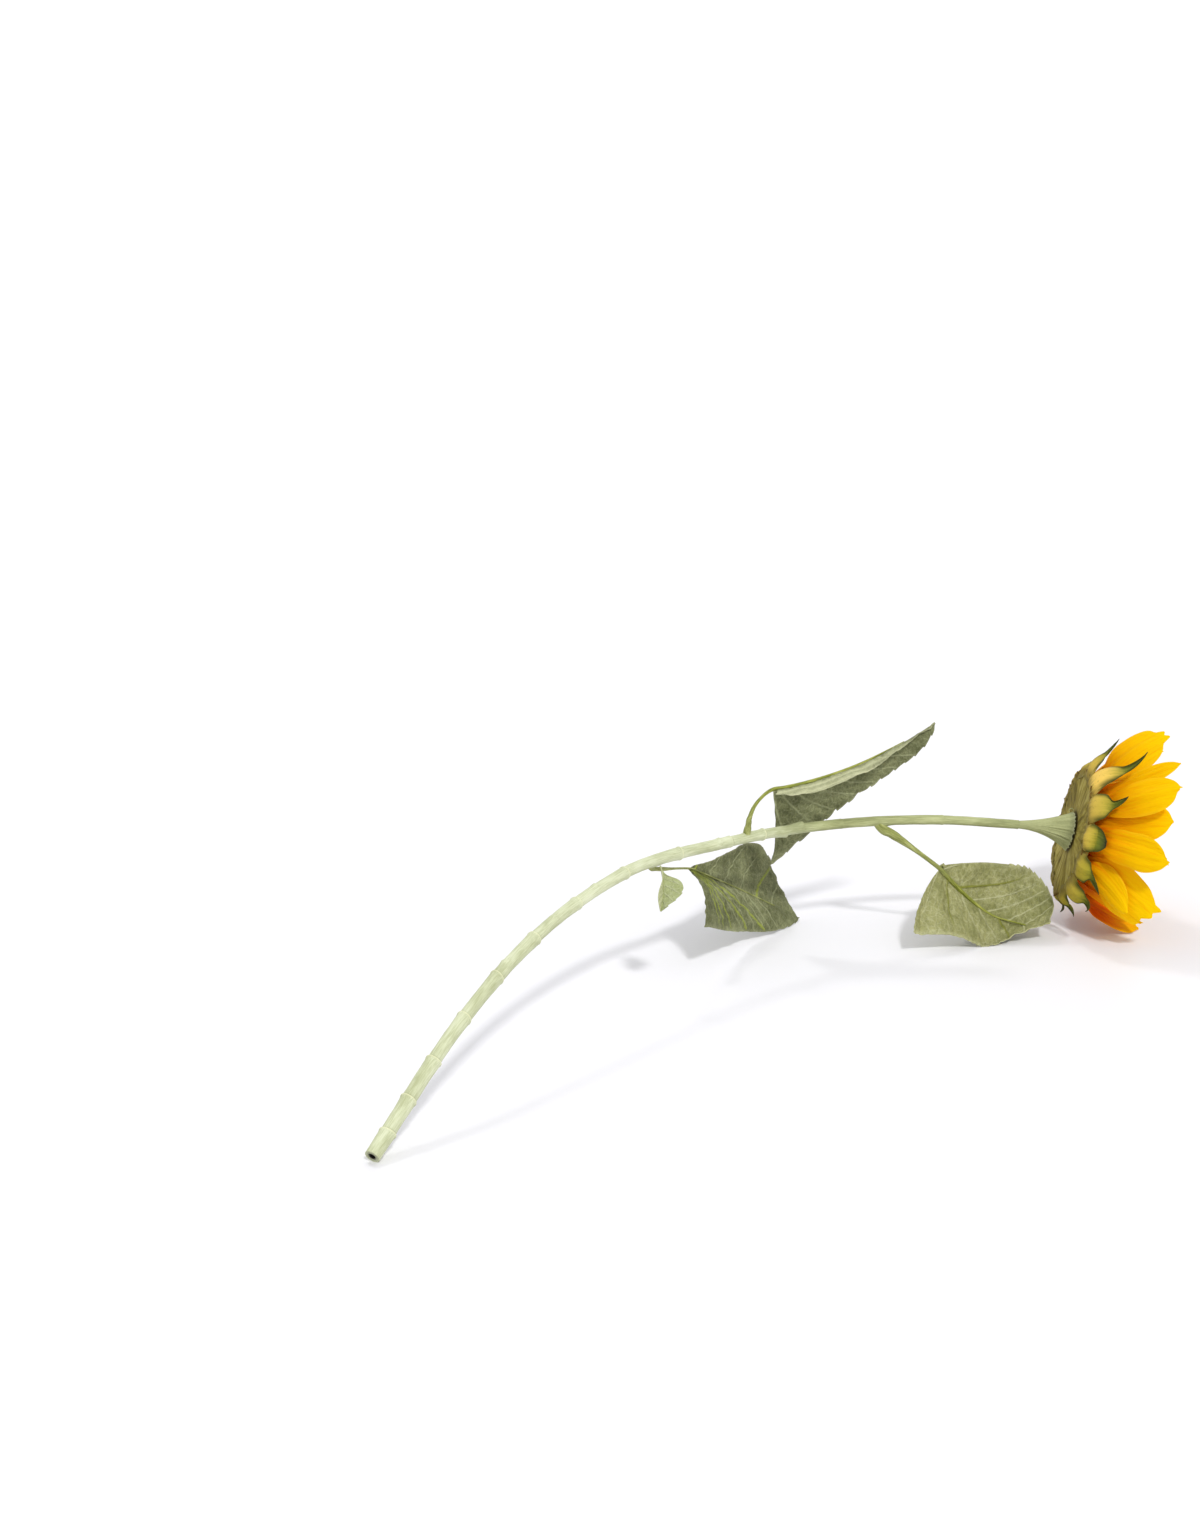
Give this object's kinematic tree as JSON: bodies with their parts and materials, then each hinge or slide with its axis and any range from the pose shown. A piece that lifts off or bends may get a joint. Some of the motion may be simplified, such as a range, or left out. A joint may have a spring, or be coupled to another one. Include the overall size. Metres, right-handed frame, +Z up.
{
  "type": "cut sunflower",
  "caption": "Single artificial cut sunflower lying on its side: half-open flower head, green calyx with curled bracts, flared cup, arched ringed stem and heart-shaped leaves.",
  "frame": {"origin": "middle of the bottom of the box around the whole flower, on the surface that it lies on", "axes": "+X along the lying stem from its cut end towards the flower head, +Z up"},
  "size_m": [0.7138, 0.2552, 0.1594],
  "materials": {
    "stem_plastic": "matt pale sage green moulded sleeve, faint lengthwise grain, thin raised ring seams",
    "leaf_fabric": "dull grey-green cloth with a paler pressed vein network",
    "calyx_fabric": "olive green cloth, yellower on the swollen bases, dark green at edges and points",
    "petal_fabric": "golden yellow cloth, deep orange at the base, lengthwise pressed pleats",
    "disc_fabric": "dark brown flocked florets with orange-tipped filaments"
  },
  "bodies": {
    "root": {"stem": "stem_plastic", "flower_cup": "stem_plastic", "petiole_near": "stem_plastic", "leaf_near": "leaf_fabric", "petiole_upper": "stem_plastic", "leaf_upper": "leaf_fabric", "petiole_far": "stem_plastic", "leaf_far": "leaf_fabric", "leaflet": "leaf_fabric", "calyx": "calyx_fabric", "seed_disc": "disc_fabric", "bract_1": "calyx_fabric", "bract_2": "calyx_fabric", "bract_3": "calyx_fabric", "bract_4": "calyx_fabric", "bract_5": "calyx_fabric", "bract_6": "calyx_fabric", "bract_7": "calyx_fabric", "bract_8": "calyx_fabric", "bract_9": "calyx_fabric", "bract_10": "calyx_fabric", "bract_11": "calyx_fabric", "bract_12": "calyx_fabric", "bract_13": "calyx_fabric", "bract_14": "calyx_fabric", "petal_outer_1": "petal_fabric", "petal_outer_2": "petal_fabric", "petal_outer_3": "petal_fabric", "petal_outer_4": "petal_fabric", "petal_outer_5": "petal_fabric", "petal_outer_6": "petal_fabric", "petal_outer_7": "petal_fabric", "petal_outer_8": "petal_fabric", "petal_outer_9": "petal_fabric", "petal_middle_1": "petal_fabric", "petal_middle_2": "petal_fabric", "petal_middle_3": "petal_fabric", "petal_middle_4": "petal_fabric", "petal_middle_5": "petal_fabric", "petal_middle_6": "petal_fabric", "petal_middle_7": "petal_fabric", "petal_middle_8": "petal_fabric", "petal_middle_9": "petal_fabric", "petal_inner_1": "petal_fabric", "petal_inner_2": "petal_fabric", "petal_inner_3": "petal_fabric", "petal_inner_4": "petal_fabric", "petal_inner_5": "petal_fabric", "petal_inner_6": "petal_fabric", "petal_inner_7": "petal_fabric", "petal_inner_8": "petal_fabric"}
  },
  "joints": []
}
